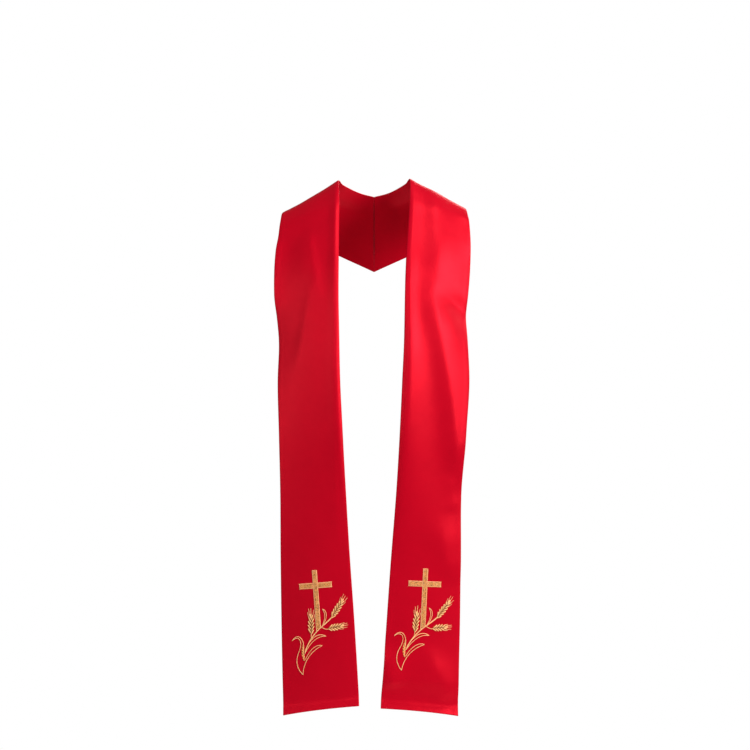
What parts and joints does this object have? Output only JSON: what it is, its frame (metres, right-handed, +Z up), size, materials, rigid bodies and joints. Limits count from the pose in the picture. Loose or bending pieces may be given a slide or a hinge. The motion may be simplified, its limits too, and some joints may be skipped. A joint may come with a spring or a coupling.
{
  "type": "clerical stole",
  "caption": "Long red satin stole in its worn shape over the shoulders, with a gold cross and ears of wheat embroidered above each hem.",
  "frame": {"origin": "the nape: the underside of the cloth at the neck edge of the centre-back seam", "axes": "+Z up, -Y the way the wearer faces, +X to the wearer's left"},
  "size_m": [0.3999, 0.2897, 1.0845],
  "materials": {
    "satin": "bright red satin with a fine diagonal weave and a soft sheen",
    "gold_thread": "shiny gold embroidery thread in close satin stitch"
  },
  "bodies": {
    "root": {"band_right": "satin", "band_left": "satin", "cross_right": "gold_thread", "cross_left": "gold_thread", "ear_upright_right": "gold_thread", "ear_raised_right": "gold_thread", "ear_level_right": "gold_thread", "ear_upright_left": "gold_thread", "ear_raised_left": "gold_thread", "ear_level_left": "gold_thread"}
  },
  "joints": []
}
